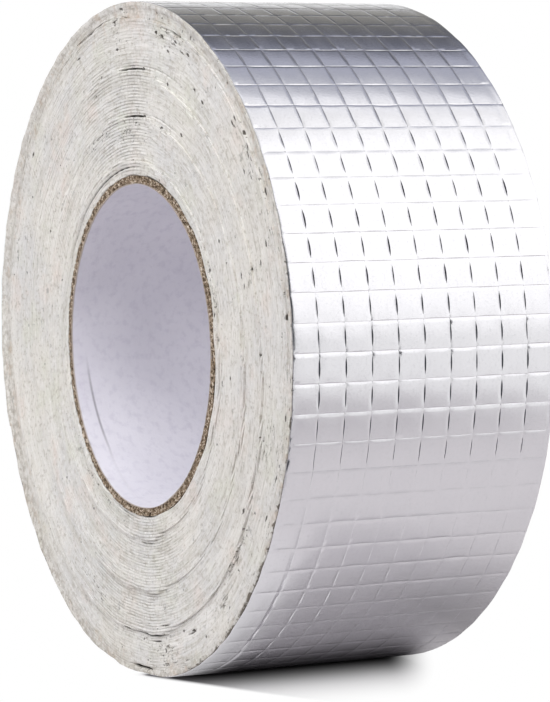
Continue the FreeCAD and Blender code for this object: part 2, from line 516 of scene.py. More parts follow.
tape = {
    "columns": 270,  # faces round one turn
    "crown": 0.006 * millimetre,  # how proud the middle of a turn's edge is
    "roughness": 0.012 * millimetre,
    "unevenness": 0.03 * millimetre,
    "ownShift": 0.012 * millimetre,  # how far a turn wanders on its own
    "slipHeight": 0.42 * millimetre,  # how far the turns stand out just inside the slip line
    "slipFall": 0.36 * millimetre,  # radial width of the drop outside it
    "slipWander": 0.22 * millimetre,  # how far the line strays from its places
    "lip": 0.055 * millimetre,  # how much further the last turn inside it stands out
    "lipWidth": 0.5 * millimetre,
    "spare": 0.03 * millimetre,  # how far the turns may stand out past that
    "farShare": 0.6,  # how much of the near end's form the far end has
    "rimPlace": -0.06 * millimetre,  # of the last turn's edge, from the plane of the core's end
    "rimWave": 0.04 * millimetre,
    "flare": 0.12 * millimetre,  # how far the last turn is squeezed out over the facing's edge
    "flareLength": 0.3 * millimetre,  # of the strip's width, at each end
    "tearDepth": 0.12 * millimetre,  # of the torn places in the last turn's edge
    "seamDepth": 0.25 * millimetre,  # of the places where the first turn stands off the core
    "sharpFrom": 25,  # degrees between faces
    # where the slip line runs as it winds inwards: degrees and millimetres
    "slipLine": (
        (-400, 76), (-60, 60.2), (45, 56.7), (100, 57.2), (140, 57.0), (185, 54.9), (235, 52.5),
        (265, 51.6), (325, 51.0), (345, 49.7), (370, 47.9), (420, 46.6), (460, 48.1), (485, 46.8),
        (540, 45.6), (600, 43.6), (660, 44.1), (705, 43.1), (725, 42.0), (755, 40.9), (780, 39.7),
        (820, 39.8), (860, 38.0), (920, 36.8), (960, 34.7), (1020, 34.8), (1100, 33.0), (1200, 31.6),
        (1320, 30.2), (2400, 16),
    ),
    # gaps between turns: radius, angle, half length in degrees, and depth
    "gaps": (
        (47.9, 91, 6.0, 0.8), (48.5, 92, 4.5, 0.25), (39.6, 89.5, 6.5, 0.8), (30.1, 124, 40, 0.7),
        (31.3, 262, 9, 0.25), (52.3, 277, 7.0, 0.7), (51.8, 267.5, 1.6, 0.8), (53.4, 279, 2.0, 0.6),
        (53.6, 295.5, 1.5, 0.8), (58.1, 273, 4.2, 1.2), (35.9, 277, 5.0, 0.3), (50.6, 285, 2.0, 0.4),
        (57.3, 109, 10, 0.5), (57.7, 130, 12, 0.45), (57.3, 152, 11, 0.3), (56.6, 74, 5, 0.25),
        (48.6, 76, 9, 0.2), (40.6, 73, 8, 0.2),
    ),
    # where dark flecks crowd: angle, radius, how far they spread each way, and how thickly
    "flecks": (
        (73, 55.0, 9, 1.8, 1), (92, 37, 12, 3.0, 1), (-50, 54.5, 6, 1.8, 1), (-38, 51.7, 9, 0.7, 1),
        (-14, 52.5, 5, 3.5, 1), (35, 55.6, 14, 1.4, 1), (284, 54.5, 9, 2.2, 1), (252, 49.3, 8, 1.6, 1),
        (286, 47.5, 4, 1.5, 1), (165, 53.5, 5, 2.0, 1), (17, 47.5, 2, 4.5, 1), (20, 33, 25, 1.0, 1),
        (240, 31.8, 30, 1.0, 1), (115, 38, 10, 1.0, 1), (93.5, 57.5, 1.2, 1.2, 1.3),
        (97.5, 53.5, 1.2, 3, 1.3), (74, 55.0, 5, 0.9, 1.3), (68, 49.3, 3, 0.6, 1), (-42, 33.5, 2, 0.7, 1),
        (-26, 32.5, 2, 0.7, 1), (-40, 52.0, 4, 0.6, 1.3), (108, 57.0, 5, 0.5, 1.3),
        (285, 57.3, 3, 0.6, 1.3),
    ),
    # single dark specks: angle and radius
    "specks": (
        (57, 50.4), (61.4, 50.7), (46, 56.2), (45, 55.0), (40.7, 57.0), (39.3, 56.6), (36.8, 55.9),
        (36, 52.9), (22, 54.2), (18, 51.2), (19.2, 43.8), (16.5, 44.5), (25.7, 33.1), (12.4, 32.8),
        (-5, 37.7), (94.6, 58.8), (97.3, 56.9), (97.5, 51.9), (85.3, 48.3), (84, 40.1), (73, 39.6),
        (62.7, 41.4), (80, 55.2), (78, 55.0), (71.7, 55.4), (74.9, 53.0), (66.9, 55.0), (73.9, 47.4),
        (115, 54.9), (144, 54.4), (-18, 57.4), (29, 57.6), (8, 58.3), (-8, 58.4), (-26, 56.8),
        (-31, 49.5), (296, 53.6),
    ),
    "speckLength": 1.2,  # faces along the turn, each way
    "speckWidth": 0.55,  # millimetres across it, each way
    # noise drawn out along the turns: how fine it is along them and, in waves to the metre, across them,
    # then its detail and roughness
    "drawn": {
        "smear": (5, 850, 4, 0.6), "fibre": (15, 2300, 4, 0.62), "streak": (9, 3600, 3, 0.55),
        "band": (1.6, 420, 3, 0.5), "line": (16, 420, 3, 0.6), "fleck": (30, 1900, 4, 0.8),
    },
    "tones": {
        "base": (228, 225, 219), "coolBase": (221, 220, 219),
        "warmPatch": (229, 213, 204), "greenPatch": (216, 217, 202),
        "darkBand": (206, 203, 196), "paleBand": (238, 236, 232),
        "darkSmear": (200, 196, 188), "paleSmear": (240, 238, 234),
        "darkFibre": (166, 160, 148), "paleFibre": (243, 241, 238),
        "darkStreak": (176, 170, 160), "paleStreak": (245, 243, 240),
        "darkGrain": (178, 172, 162), "paleGrain": (246, 244, 242),
        # painted shade: the line tone along the seams between the turns, and the tone for the right of the
        # end
        "line": (150, 145, 134), "paintedShade": (180, 175, 168),
        "dirt": (190, 164, 138), "worn": (160, 152, 141),
        "fleck": (84, 78, 66), "smudge": (134, 133, 132),
        "crumb": (66, 62, 54), "speck": (62, 55, 46),
        # painted shade: the tones in the rim's torn places and in the gaps between the turns
        "tornRimShade": (98, 90, 78), "gap": (48, 43, 36),
    },
}


def slipAt(radius, angle):
    # height of the stepped end: it rises outwards to a lip on the slip line and then drops
    places, radii = (np.array(values, dtype=float) for values in zip(*tape["slipLine"]))
    wander = tape["slipWander"] * ripple(np.cos(angle) * 50 * millimetre, np.sin(angle) * 50 * millimetre,
                                         11 * millimetre, 7)
    turned = asDegrees(angle)
    outside = np.interp(turned - 360, places, radii) * millimetre + wander
    phase = np.zeros(len(radius))
    pitch = np.ones(len(radius))
    for turn in range(6):
        inside = np.interp(turned + 360 * turn, places, radii) * millimetre + wander
        within = (radius <= outside) & (radius > inside)
        phase = np.where(within, (outside - radius) / (outside - inside), phase)
        pitch = np.where(within, outside - inside, pitch)
        outside = inside
    dropped = ease(phase, 1 - tape["slipFall"] / pitch, 1)
    lip = bell(np.minimum(phase, 1 - phase) * pitch, 0, tape["lipWidth"])
    rise = tape["slipHeight"] * ((1 - phase) * (1 - dropped) + dropped) + tape["lip"] * lip
    # low on the right the inner turns are pressed nearly level, and on the right a little
    level = bell(turned, 318, 26) * (1 - ease(radius, 47.5 * millimetre, 49.5 * millimetre))
    level = 0.65 * level + 0.4 * bell(turned, 38, 32)
    return rise + (tape["slipHeight"] / 2 - rise) * level


def ownShift(length):
    # a turn's own wandering, which differs from its neighbours'
    waves = ((3.37, 0.5), (5.61, 0.6), (8.23, 0.5), (17.4, 0.45), (31.3, 0.3), (52.7, 0.25))
    return sum(size * np.sin(fullTurn * rate * length + rate) for rate, size in waves)


def proudOf(radius, angle, length):
    # how far the turn at that radius stands out of the end
    x, z = radius * np.cos(angle), radius * np.sin(angle)
    proud = slipAt(radius, angle)
    proud += tape["unevenness"] * ripple(x, z, 9 * millimetre, 3)
    proud += tape["unevenness"] * ripple(x, z, 24 * millimetre, 4)
    return proud + tape["ownShift"] * ownShift(length)


def slippedBy(proud, radius, x, z):
    # how far in from the core's near end a turn's edge lies, which the last turns keep the same
    deepest = tape["slipHeight"] + tape["lip"] + tape["spare"] - roll["slip"]
    rim = ease(radius, treadRadius - 1.7 * millimetre, treadRadius - 0.5 * millimetre)
    atRim = tape["rimPlace"] + tape["rimWave"] * ripple(x, z, 5 * millimetre, 8)
    return np.clip((deepest - proud) * (1 - rim) + atRim * rim, -roll["slip"], deepest)


def linedAt(radius, angle, x, z):
    # the turns show one by one near the top and near the floor, and are smeared over elsewhere
    turned = asDegrees(angle)
    lined = bell(turned, 94, 12) + 0.35 * bell(turned, 112, 12)
    lined *= 1 - ease(radius, 47 * millimetre, 52 * millimetre)
    lined += 0.8 * bell(turned, 274, 26) * (1 - 0.6 * ease(radius, 50 * millimetre, 55 * millimetre))
    lined += 0.3 * bell(turned, 340, 16)
    return np.clip(lined * (1.0 + 0.3 * ripple(x, z, 14 * millimetre, 9)), 0.08, 1)


def openGaps(edge, swept):
    # where neighbouring turns stand apart: how dark the painted shade in the gap is, and how deep
    turns = roll["turns"]
    shown = np.zeros(len(edge))
    deep = np.zeros(len(edge))
    for gapRadius, gapAngle, halfLength, gapDepth in tape["gaps"]:
        centre = gapAngle * degree
        sweptThere = (centre - roll["endAngle"]) % fullTurn
        coreThere = coreAt(centre)
        woundThere = treadAt(sweptThere, roll["foilThickness"]) - coreThere
        share = (gapRadius * millimetre - coreThere) / woundThere
        which = round(share * (turns + sweptThere / fullTurn) - sweptThere / fullTurn)
        fromGap = np.abs(edge - swept / fullTurn - which)
        onEdge = (fromGap < 0.01) + (gapDepth > 1) * (fromGap < 0.6) * 0.35
        along = (swept - sweptThere) / (halfLength * degree)
        taper = np.clip(1 - along ** 2, 0, 1) ** 0.5 * onEdge
        taper *= 0.75 + 0.25 * np.sin(swept * 190)
        shown = np.maximum(shown, taper * min(1, 0.25 + gapDepth))
        deep = deep + gapDepth * millimetre * taper
    return shown, deep


def tornAt(angle):
    # how ragged the last turn's edge is along the facing, most of all low on the right
    turned = asDegrees(angle)
    most = 0.45 + 0.5 * bell(turned, 322, 34) + 0.4 * bell(turned, 195, 45)
    least = 0.68 * bell(turned, 316, 24)
    return most * np.clip(0.68 + 0.42 * ripple(angle * treadRadius, 0, 4 * millimetre, 6), least, 1)


def crowdAt(radius, angle, x, z):
    # how thickly dark flecks lie
    crowd = 0.25 * np.clip(ripple(x, z, 7 * millimetre, 10), 0, 1)
    for fleckAngle, fleckRadius, spread, thick, share in tape["flecks"]:
        turned = (asDegrees(angle) - fleckAngle + 180) % 360 - 180
        off = (radius / millimetre - fleckRadius) / thick
        crowd += share * np.exp(-(turned / spread) ** 2 - off ** 2)
    crowd += 0.6 * ease(radius, 55.3 * millimetre, 58 * millimetre) * (0.4 + 0.6 * np.cos(angle))
    return np.clip(crowd, 0, 1.3)


def speckAt(radius, swept):
    speck = np.zeros(len(radius))
    column = swept / fullTurn * tape["columns"]
    for speckAngle, speckRadius in tape["specks"]:
        columnThere = round((speckAngle - roll["endAngle"] / degree) % 360 / 360 * tape["columns"])
        along = np.abs(column - columnThere) / tape["speckLength"]
        off = np.abs(radius / millimetre - speckRadius) / tape["speckWidth"]
        speck = np.maximum(speck, np.clip(1 - np.hypot(along, off), 0, 1))
    return speck


def giveWidth(piece):
    # draws the near end out to the far one, with a short length at each that is squeezed outwards
    flareLength = tape["flareLength"]
    bpy.ops.object.mode_set(mode="EDIT")
    joinDoubles()
    for step in (flareLength, halfWidth * 2 - flareLength * 2, flareLength):
        bpy.ops.mesh.extrude_region_move(TRANSFORM_OT_translate={"value": (0, step, 0)})
    bpy.ops.object.mode_set(mode="OBJECT")
    names = ("slip", "groove", "start", "flare")
    slip, groove, start, flare = (keptOnCorners(piece, name) for name in names)
    x, y, z = readCorners(piece).T
    z = z - axisHeight
    moved = y - start
    farY = halfWidth + np.minimum(slip * tape["farShare"], roll["slip"]) - groove
    y = np.where(moved > halfWidth, farY + moved - halfWidth * 2, y)
    atEnd = (moved < flareLength / 2) | (moved > halfWidth * 2 - flareLength / 2)
    away = np.hypot(x, z)
    nearTread = ease(away, treadRadius - 3 * millimetre, treadRadius - 0.6 * millimetre)
    wider = 1 + (flare * atEnd - dented(np.arctan2(z, x), y) * nearTread) / away
    moveCorners(piece, x * wider, y, z * wider + axisHeight)


def makeTurns(material):
    turns, columns = roll["turns"], tape["columns"]
    # four corners across each turn: its inner edge, middle and outer edge, and the next turn's inner edge
    piece, column, row = addSheet("butyl_turns", turns * columns, 3)
    turn = np.minimum(column // columns, turns - 1)
    swept = (column - turn * columns) / columns * fullTurn
    across = np.array([0, 0.5, 1, 0])[row]
    own = turn + (row == 3)
    last = own == turns
    own, across = np.where(last, turns - 1, own), np.where(last, 1, across)
    length = own + swept / fullTurn  # in turns, along the strip
    inner = np.where(own == 0, 0, length)
    edge = inner + (length + 1 - inner) * across
    outermost = turns + swept / fullTurn
    angle = swept + roll["endAngle"]
    core = coreAt(angle)
    tread = treadAt(swept, roll["foilThickness"])
    depth = (tread - core) / outermost
    radius = core + depth * edge
    x, z = radius * np.cos(angle), radius * np.sin(angle)

    slip = slippedBy(proudOf(core + depth * (inner + length + 1) / 2, angle, length), radius, x, z)

    # how far a corner sits below the middle of its turn
    rough = np.abs(ripple(x, z, 2.5 * millimetre, 5))
    lined = linedAt(radius, angle, x, z)
    gap, gapDepth = openGaps(edge, swept)
    seam = (edge < 0.01) * np.clip(0.6 + 0.5 * ripple(angle * tubeOutside, 0, 9 * millimetre, 12), 0, 1)
    torn = tornAt(angle)
    fromTread = (tread - radius) / millimetre
    notch = 1 - ease(fromTread, 0.10, 0.50)
    groove = (across != 0.5) * tape["crown"] * (0.5 + rough) * (1 + 2.5 * lined)
    groove += tape["roughness"] * rough
    groove += gapDepth + tape["seamDepth"] * seam
    groove += notch * torn * tape["tearDepth"]
    tearReach = 0.6 + 0.7 * bell(asDegrees(angle), 318, 26)
    atTread = last | (edge + 0.01 >= outermost)
    start = slip + groove - halfWidth

    moveCorners(piece, x, start, z + axisHeight)
    layUv(piece, length, across)
    kept = {
        "speck": speckAt(radius, swept),
        "slip": slip,
        "groove": groove,
        # painted shade in the gaps between turns and along the seam where the first turn stands off the
        # core
        "gap": np.maximum(gap, 0.7 * seam),
        "lined": lined,
        # how much painted shade the rim's torn places get
        "fray": np.clip(1 - fromTread / tearReach, 0, 1) * torn,
        "crowd": crowdAt(radius, angle, x, z),
        "start": start,
        "flare": atTread * tape["flare"] * (1 - np.clip(torn, 0, 1)),
    }
    for name, values in kept.items():
        keepOnCorners(piece, name, values)
    giveWidth(piece)
    closeUp(piece)
    finishPiece(piece, "tape_winding", material, tape["sharpFrom"])


def drawnNoises(recipe, radius, towards):
    # noises that are long along the turns and short across them
    noises = {}
    for name, (along, across, detail, roughness) in tape["drawn"].items():
        spread = recipe.vector("ADD", recipe.vector("MULTIPLY", towards, (along, along, along)),
                               recipe.join(0, radius * across, 0))
        noises[name] = recipe.noise(spread, 1, detail, roughness)
    return noises


def butylBody(recipe, at, right, drawn, grain):
    # the paint and the height of the end itself, before any dirt, with painted shade along the seams
    # between the turns and on the right of the end
    between, noise, tones = recipe.between, recipe.noise, tape["tones"]
    smear, fibre, streak, band = (drawn[name] for name in ("smear", "fibre", "streak", "band"))
    patch = noise(at, 60, 4, 0.6)
    tint = noise(recipe.vector("ADD", at, (0.3, 0.1, 0.2)), 95, 3, 0.6)
    pits = noise(recipe.vector("ADD", at, (0.1, 0.2, 0.3)), 3200, 2, 0.6)
    # the left of the end is smoother than the rest
    scored = 1 - between(right, -0.35, -0.85) * 0.5

    # lines between the turns, smeared over in places: painted shade along the seams between the turns
    across = recipe.parts(recipe.place("UV"))[1]
    fromEdge = 1 - abs(across * 2 - 1)
    line = (1 - between(fromEdge, 0.05, 0.5)) * recipe.kept("lined")
    line = line * between(drawn["line"], 0.30, 0.56)

    paint = recipe.blend(between(patch, 0.36, 0.64), colour(*tones["base"]), colour(*tones["coolBase"]))
    paint = recipe.layered(
        paint,
        (between(tint, 0.54, 0.72) * 0.5, tones["warmPatch"]),
        (between(tint, 0.48, 0.30) * 0.5, tones["greenPatch"]),
        (between(band, 0.52, 0.70) * 0.5, tones["darkBand"]),
        (between(band, 0.48, 0.32) * 0.5, tones["paleBand"]),
        (between(smear, 0.52, 0.72) * 0.55 * scored, tones["darkSmear"]),
        (between(smear, 0.46, 0.26) * 0.5 * scored, tones["paleSmear"]),
        (line * 0.5, tones["line"]),
        (between(fibre, 0.54, 0.70) * 0.6 * scored, tones["darkFibre"]),
        (between(fibre, 0.46, 0.30) * 0.5 * scored, tones["paleFibre"]),
        (between(streak, 0.54, 0.70) * 0.4 * scored, tones["darkStreak"]),
        (between(streak, 0.46, 0.32) * 0.4 * scored, tones["paleStreak"]),
        (between(grain, 0.54, 0.70) * 0.6, tones["darkGrain"]),
        (between(grain, 0.44, 0.30) * 0.45, tones["paleGrain"]),
        # painted shade on the right of the end
        (between(right, 0.1, 0.9) * 0.14, tones["paintedShade"]),  # the right of the end is a little darker
    )
    height = (smear * 0.5 + fibre * 0.6 + streak * 0.3) * scored + band * 0.5 + grain * 0.5 + pits * 0.2
    return paint, height - line * 0.7


def crumbs(recipe, at, crowd):
    # scattered round crumbs, each of its own size
    warp = recipe.vector("MULTIPLY", recipe.noise(at, 1300, 2, 0.6, 1), (0.0011, 0.0011, 0.0011))
    cell = {"Vector": recipe.vector("ADD", at, warp), "Scale": 1000.0, "Randomness": 1.0}
    away = recipe.node("ShaderNodeTexVoronoi", {}, cell, 0)
    choice = recipe.parts(recipe.node("ShaderNodeTexVoronoi", {}, cell, 1))
    picked = recipe.maths("GREATER_THAN", choice[0] + crowd * 0.15, 0.988)
    size = choice[1] ** 2 * 0.32 + 0.12
    return picked * (1 - recipe.between(away / size, 0.4, 1.0))


def butylMarks(recipe, at, radius, up, drawn, paint, height):
    # the dirt laid over that, with painted shade in the gaps and torn places, and what is broken out of it
    between, noise, tones = recipe.between, recipe.noise, tape["tones"]
    # dirt and wear towards the rim
    outer = between(radius, 54.5 * millimetre, 58.5 * millimetre)
    dirt = between(noise(at, 330, 4, 0.65), 0.53, 0.68) * outer
    worn = between(radius, 55.5 * millimetre, 59 * millimetre)
    worn = worn * (0.2 + between(noise(at, 800, 4, 0.7), 0.42, 0.62) * 0.8)
    worn = worn * (0.4 + between(up, 0.2, -0.4) * 0.3)

    # short dark flecks along the turns, smudges, crumbs and specks, and painted shade in the rim's torn
    # places and in the gaps between turns
    crowd = recipe.kept("crowd")
    fleck = between(drawn["fleck"] + crowd * 0.10, 0.675, 0.705)
    smudge = between(noise(recipe.vector("ADD", at, (0.7, 0.4, 0.1)), 420, 4, 0.7), 0.63, 0.72)
    crumb = crumbs(recipe, at, crowd)
    speck = between(recipe.kept("speck") + noise(at, 1300, 3, 0.7), 0.95, 1.14)
    tornRimShade = between(recipe.kept("fray") + noise(at, 1300, 4, 0.7) * 1.5, 1.33, 1.46)
    paint = recipe.layered(
        paint,
        (dirt * 0.45, tones["dirt"]),
        (worn, tones["worn"]),
        (fleck * 0.8, tones["fleck"]),
        (smudge * 0.5, tones["smudge"]),
        (crumb * 0.85, tones["crumb"]),
        (speck * 0.9, tones["speck"]),
        (tornRimShade * 0.85, tones["tornRimShade"]),
        (between(recipe.kept("gap"), 0.12, 0.7), tones["gap"]),
    )
    return paint, height - crumb * 0.8 - fleck * 0.7 - speck - tornRimShade


def makeButyl():
    material = bpy.data.materials.new("butyl")
    recipe = Recipe(material)
    at = recipe.place()
    x, _, z = recipe.parts(at)
    flat = recipe.join(x - coreAcross, 0, z - coreUp)
    radius = recipe.vector("LENGTH", flat, output="Value")
    towards = recipe.vector("NORMALIZE", flat)
    right, _, up = recipe.parts(towards)
    drawn = drawnNoises(recipe, radius, towards)
    grain = recipe.noise(at, 1350, 3, 0.6)
    paint, height = butylBody(recipe, at, right, drawn, grain)
    paint, height = butylMarks(recipe, at, radius, up, drawn, paint, height)
    recipe.surface(
        Base_Color=paint,
        Roughness=recipe.between(grain, 0.2, 0.8) * 0.2 + 0.62,
        Specular_IOR_Level=0.3,
        Normal=recipe.bump(height, 0.8, 0.17 * millimetre),
    )
    return material


makeTurns(makeButyl())
print("butyl turns wound")


facing = {
    "pitch": 4.952 * millimetre,  # of the pressed squares
    "rowStep": 4.729 * degree,
    "firstRow": 58.835 * degree,
    "firstLine": -24.98 * millimetre,
    "drift": -0.59 * millimetre,  # how far the lines run out of true round the roll
    "lineDepth": 0.17 * millimetre,  # of the lines round the roll
    "rowDepth": 0.11 * millimetre,  # of the rows across it
    "lineWalls": (0.40 * millimetre, 0.21 * millimetre),  # how wide a line's near and far walls are
    "rowWalls": (0.45 * millimetre, 0.36 * millimetre),  # how wide a row's lower and upper walls are
    "steepWall": 0.48,  # share of that width that an upper wall keeps where it is steep
    "narrowest": 0.12,  # share of its width that a dash keeps at its ends
    "astray": 0.05 * millimetre,  # how far a dash lies out of line
    "pillow": 0.06 * millimetre,
    "lean": 0.004,  # how far a square leans, as a slope
    "wave": 0.012 * millimetre,
    "deepest": 0.24 * millimetre,  # that anything is pressed in
    "samples": (-0.5, -0.32, -0.15, 0.15, 0.32),  # corners between one dash and the next, in pitches
    # the facing's edge: millimetres in from the end, and share of its thickness
    "rim": ((0.03, 1), (0.0, 0.85), (0.0, 0.45), (0.01, 0.2), (0.04, 0.05), (0.08, 0.0)),
    "rimWave": 0.05 * millimetre,
    "plain": 0.3 * millimetre,  # inside each rim, with no corners of the grid
    # how strong the lines and the rows are, by the angle in degrees
    "lineFade": (
        (-160, 1), (-105, 1), (-98, 0), (-82, 0), (-75, 0.4), (-55, 0.6), (-43, 0.65), (-26, 0.3),
        (-21, 0.15), (-17, 0.35), (-12, 0.65), (-5, 1), (30, 1), (38, 0.7), (50, 0.6), (85, 0.6),
        (100, 1), (200, 1),
    ),
    "rowFade": (
        (-160, 1), (-105, 1), (-98, 0), (-82, 0), (-75, 0.6), (-60, 0.65), (-47, 0.7), (-41, 0.9),
        (-36, 1.05), (-26, 1.2), (-23, 1.1), (-20, 0.5), (-15, 0.5), (-9, 1.1), (-4, 1.4), (3, 1.2),
        (12, 0.8), (40, 0.8), (44, 1.3), (50, 0.85), (54.5, 0.75), (59, 0.4), (63.5, 0.2), (85, 0.2),
        (100, 1), (200, 1),
    ),
    # a crease along the first line: degrees and millimetres
    "crease": ((-68, -19.3), (-61, -19.2), (-55.5, -19.65), (-46, -19.8), (-38, -19.7), (-30, -20.0)),
    "creaseShown": ((-76, -62), (-42, -29)),  # degrees over which it starts and ends
    "creaseDepth": 0.17 * millimetre,
    "creaseBurr": 0.05 * millimetre,  # how far it stands up beside that
    "creaseWidth": 0.25 * millimetre,
    "creaseSamples": (-20.9, -18.3, 0.12),  # corners across it: from, to and step, in millimetres
    # a short wrinkle at the far side: millimetres and degrees
    "wrinkle": ((15.1, -53.5), (25.1, -60.1)),
    "wrinkleDepth": 0.08 * millimetre,
    "sharpFrom": 24,  # degrees between faces
    "tones": {"dark": (224, 223, 227), "pale": (233, 232, 235), "grain": (206, 205, 210)},
}


def fromEnd(angle):
    # -160 to 200 degrees, so that it only jumps at the strip's free end
    return np.where(angle > roll["endAngle"], angle - fullTurn, angle)


def dash(part, force, ends, power):
    # how strong one dash is along its length: nothing at its ends, full in the middle
    return np.clip((np.sin(np.pi * part) - ends) / (1 - ends), 0, 1) ** power * force


def walled(away, walls, size, share=1):
    # the groove of one dash: how far in, and how far a corner on its walls moves towards its middle
    within = np.where(away < 0, -away / walls[0], away / walls[1])
    narrow = facing["narrowest"] + (1 - facing["narrowest"]) * np.clip(size, 0, 1.1)
    narrow = narrow * np.where(away < 0, 1, share)
    shift = np.where(within < 1.001, (narrow - 1) * away, 0)
    return np.clip(1 - within, 0, 1) * size, shift


def pressed(angle, y):
    # how far the foil is pressed in, and where that moves its corners to
    pitch, rowStep = facing["pitch"], facing["rowStep"]
    rowsBefore, linesBefore = 60, 2  # so that no row and no line has a number below 0
    cells = (110, 20)  # more rows and lines than there are
    low = fromEnd(angle)
    inDegrees = low / degree
    lineFade = np.interp(inDegrees, *zip(*facing["lineFade"]))
    rowFade = np.interp(inDegrees, *zip(*facing["rowFade"]))
    rowAt = (low - facing["firstRow"]) / rowStep + rowsBefore
    lineAt = (y - facing["firstLine"] - facing["drift"] * np.sin(low)) / pitch + linesBefore
    row, cellRow = np.rint(rowAt).astype(int), np.floor(rowAt).astype(int)
    line, cellLine = np.rint(lineAt).astype(int), np.floor(lineAt).astype(int)
    rowPart, linePart = rowAt - cellRow, lineAt - cellLine

    # no two dashes and no two squares are alike
    chance = np.random.default_rng(11)
    astray = facing["astray"] / millimetre
    lineForce = chance.uniform(0.6, 1.1, cells)
    lineShift = chance.normal(0, astray, cells) * millimetre
    rowForce = chance.uniform(0.35, 1.15, cells)
    rowShift = chance.normal(0, astray, cells) * millimetre
    leanRow = chance.normal(0, facing["lean"], cells)
    leanLine = chance.normal(0, facing["lean"], cells)

    # the dashes of a line are shorter halfway up the roll, and longest near its top
    lineEnds = 0.38 + 0.08 * ease(inDegrees, -14, -9) + 0.02 * ease(inDegrees, 8, 25)
    lineEnds = lineEnds - 0.25 * ease(inDegrees, 38, 45)
    lineSize = dash(rowPart, lineForce[cellRow, line] * lineFade, lineEnds, 0.65)
    rowSize = dash(linePart, rowForce[row, cellLine] * rowFade, 0.1, 0.4)
    lineDent, lineMove = walled((lineAt - line) * pitch, facing["lineWalls"], lineSize)
    steep = facing["steepWall"] + (1 - facing["steepWall"]) * ease(-inDegrees, 17, 24)
    rowDent, rowMove = walled((rowAt - row) * pitch, facing["rowWalls"], rowSize, steep)
    inwards = lineDent * facing["lineDepth"] + rowDent * facing["rowDepth"]
    lineMove += lineShift[cellRow, line] * (np.abs(lineAt - line) < 0.1) * np.clip(lineSize, 0, 1)
    rowMove += rowShift[row, cellLine] * (np.abs(rowAt - row) < 0.1) * np.clip(rowSize, 0, 1)

    # each square is a low pillow that leans a little
    dome = (1 - (2 * rowPart - 1) ** 2) * (1 - (2 * linePart - 1) ** 2)
    lean = leanRow[cellRow, cellLine] * (rowPart - 0.5) + leanLine[cellRow, cellLine] * (linePart - 0.5)
    inwards += facing["pillow"] * (1 - dome * rowFade) + lean * pitch * dome * rowFade
    return inwards, rowMove / treadRadius, lineMove


def creased(angle, y):
    low = fromEnd(angle) / degree
    line = np.interp(low, *zip(*facing["crease"])) * millimetre
    away = (y - line) / facing["creaseWidth"]
    starts, ends = facing["creaseShown"]
    shown = ease(low, *starts) * (1 - ease(low, *ends))
    crease = facing["creaseDepth"] * np.exp(-away ** 2)
    crease = crease - facing["creaseBurr"] * np.exp(-(away + 2.2) ** 2 / 2)
    wrinkleAt = np.interp(y / millimetre, *zip(*facing["wrinkle"]))
    wrinkle = facing["wrinkleDepth"] * bell(low, wrinkleAt, 0.45) * ease(y / millimetre, 13.5, 17)
    return crease * shown + wrinkle


def aboutDash(walls):
    # corners across one line or row, in pitches: its middle, both its edges, and a few up to the next
    pitch = facing["pitch"]
    return np.sort(np.array([*facing["samples"], -walls[0] / pitch, 0, walls[1] / pitch]))


def facingAngles():
    end, rows = roll["endAngle"], np.arange(-50, 40)
    clear = 0.002  # radians from the free end, so that no face there is a sliver
    angles = (rows[:, None] + aboutDash(facing["rowWalls"])) * facing["rowStep"]
    angles = (fullTurn + facing["firstRow"] + angles).ravel()
    angles = angles[(angles > end + clear) & (angles < end + fullTurn - clear)]
    return np.concatenate([[end], np.sort(angles), [end + fullTurn]])


def facingSection():
    # a closed section: along the back from its middle, round the near rim, over the face, and back
    near, far, inset = foilLow.y, foilHigh.y, roll["foilThickness"]
    lines = np.arange(0, 11)
    face = (lines[:, None] + aboutDash(facing["lineWalls"])) * facing["pitch"]
    face = (facing["firstLine"] + face).ravel()
    face = np.concatenate([face, np.arange(*facing["creaseSamples"]) * millimetre])
    face = np.sort(face[(face > near + facing["plain"]) & (face < far - facing["plain"])])
    nearRim = [(near + step * millimetre, share * inset) for step, share in facing["rim"]]
    farRim = [(far - step * millimetre, share * inset) for step, share in reversed(facing["rim"])]
    section = [(0, inset), *nearRim, *((y, 0) for y in face), *farRim, (0, inset)]
    return (np.array(values) for values in zip(*section))


def makeFacing(material):
    angles = facingAngles()
    sectionY, sectionInset = facingSection()
    piece, column, row = addSheet("foil_face", len(angles) - 1, len(sectionY) - 1)
    angle, y, depth = angles[column], sectionY[row], sectionInset[row]
    swept = angle - roll["endAngle"]
    onFace = depth < 0.06 * millimetre
    inside = 1 - ease(np.abs(y), 23.5 * millimetre, 24.7 * millimetre)
    y = y + facing["drift"] * np.sin(angle) * inside * onFace
    dent, turned, moved = pressed(angle, y)
    dent = dent + creased(angle, y)
    dent += facing["wave"] * (1 + ripple(angle * treadRadius, y, 14 * millimetre, 21))
    dent = np.clip(dent, 0, facing["deepest"]) * onFace
    radius = treadAt(swept, depth) - dent - dented(angle, y)
    # the near and far rims wave a little
    rimWave = facing["rimWave"] * np.clip(1 + ripple(angle * treadRadius, 0, 6 * millimetre, 22), 0, 2)
    atRim = np.abs(y) > halfWidth - 0.4 * millimetre
    y = y - np.sign(y) * rimWave * atRim + moved * onFace * (1 - atRim)
    offEnds = (swept > 1 * degree) & (swept < 359 * degree)
    angle = angle + turned * onFace * (1 - atRim) * offEnds
    moveCorners(piece, radius * np.cos(angle), y, radius * np.sin(angle) + axisHeight)
    layUv(piece, angle * treadRadius, y)
    closeUp(piece, fillEnds=True)
    finishPiece(piece, "foil_facing", material, facing["sharpFrom"])


